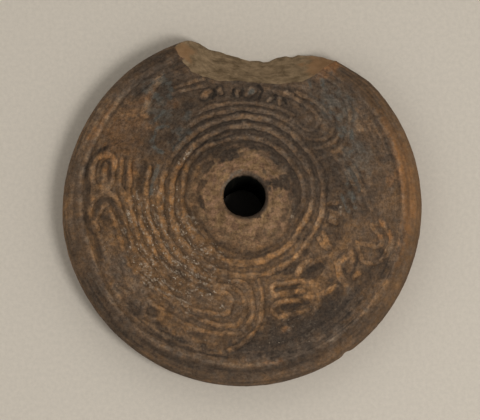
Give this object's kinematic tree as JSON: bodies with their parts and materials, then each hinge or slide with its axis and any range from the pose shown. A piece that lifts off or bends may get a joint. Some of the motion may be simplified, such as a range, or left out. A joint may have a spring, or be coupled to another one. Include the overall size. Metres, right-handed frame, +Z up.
{
  "type": "clay spindle whorl",
  "caption": "Low conical fired-clay spindle whorl with a central bore, bevelled rim, worn scroll relief on the upper face and a piece broken from the rim.",
  "frame": {"origin": "on the bore's axis, in the plane of the flat underside", "axes": "+Z up along the bore towards the decorated face, +Y towards the broken part of the rim"},
  "size_m": [0.0599, 0.0584, 0.016],
  "materials": {
    "clay": "low-fired clay with a dark slip, worn to orange-brown on the raised parts"
  },
  "bodies": {
    "root": {"whorl": "clay"}
  },
  "joints": []
}
